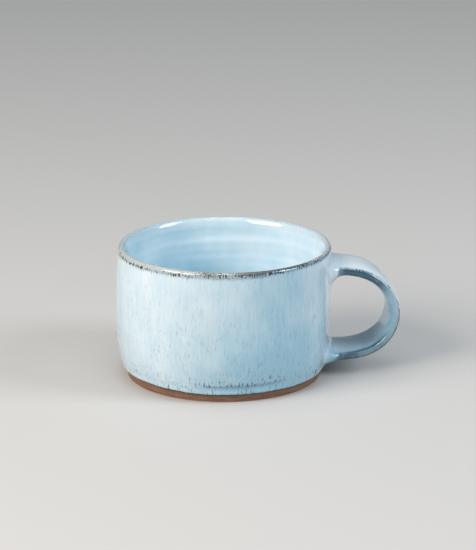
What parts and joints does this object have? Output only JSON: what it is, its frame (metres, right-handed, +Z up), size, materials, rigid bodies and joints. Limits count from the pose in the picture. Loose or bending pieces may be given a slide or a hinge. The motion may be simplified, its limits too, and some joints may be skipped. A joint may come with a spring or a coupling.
{
  "type": "wide mug",
  "caption": "Wide, low stoneware mug with a straight wall, a rounded lip and a broad strap handle, glazed pale blue above a bare clay foot; holds a hot drink.",
  "frame": {"origin": "middle of the flat foot, on the surface that the mug stands on", "axes": "+Z up along the axis that the cup was thrown round; +X from the axis towards the handle; +Y completes the right-handed frame, so the handle is symmetric about the XZ plane"},
  "size_m": [0.1405, 0.106, 0.066],
  "materials": {
    "stoneware_clay": "bare fired brown stoneware, matt and slightly gritty",
    "joining_slip": "fired clay slip, matt",
    "blue_glaze": "glossy pale blue glaze with fine vertical streaks and iron specks",
    "liner_glaze": "glossy pale blue glaze, smooth, with soft throwing rings",
    "rim_glaze": "thin glossy glaze broken to grey and brown with dark specks"
  },
  "bodies": {
    "root": {"thrown_body": "stoneware_clay", "strap_handle": "stoneware_clay", "upper_joint_slip": "joining_slip", "lower_joint_slip": "joining_slip", "outside_glaze": "blue_glaze", "inside_glaze": "liner_glaze", "rim_glaze": "rim_glaze", "handle_glaze": "blue_glaze"}
  },
  "joints": []
}
